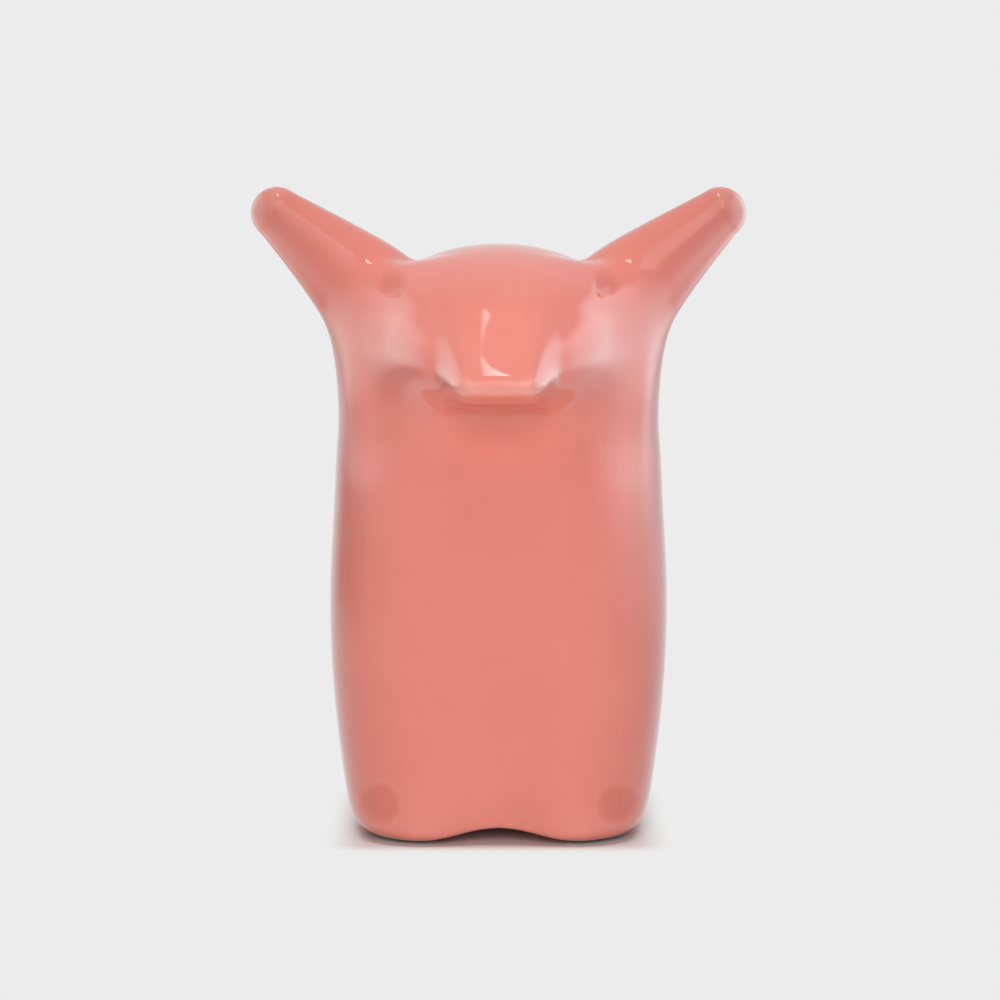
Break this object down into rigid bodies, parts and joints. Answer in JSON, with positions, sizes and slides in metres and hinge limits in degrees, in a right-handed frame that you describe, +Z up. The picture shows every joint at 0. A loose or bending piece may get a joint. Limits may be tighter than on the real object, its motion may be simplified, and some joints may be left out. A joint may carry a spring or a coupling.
{
  "type": "piggy bank",
  "caption": "Standing ceramic money bank in the form of a pig with a wedge-shaped snout and raised horn-like ears, with a coin slot in the back and a pull-out base stopper.",
  "frame": {"origin": "on the floor, under the middle of the bank's bounding box", "axes": "+X to the right of someone facing the snout, the snout points along -Y, +Z up"},
  "size_m": [0.136, 0.146, 0.1774],
  "materials": {
    "pink_glaze": "glossy",
    "bung_plastic": "satin",
    "pad_rubber": "matte"
  },
  "bodies": {
    "bank": {"ceramic_body": "pink_glaze", "foot_pad_front_left": "pad_rubber", "foot_pad_front_right": "pad_rubber", "foot_pad_rear_left": "pad_rubber", "foot_pad_rear_right": "pad_rubber"},
    "bung": {"stopper": "bung_plastic"}
  },
  "joints": [
    {"name": "stopper_pull", "type": "slide", "parent": "bank", "child": "bung", "axis": [0, 0, -1], "range_m": [0, 0.03]}
  ]
}
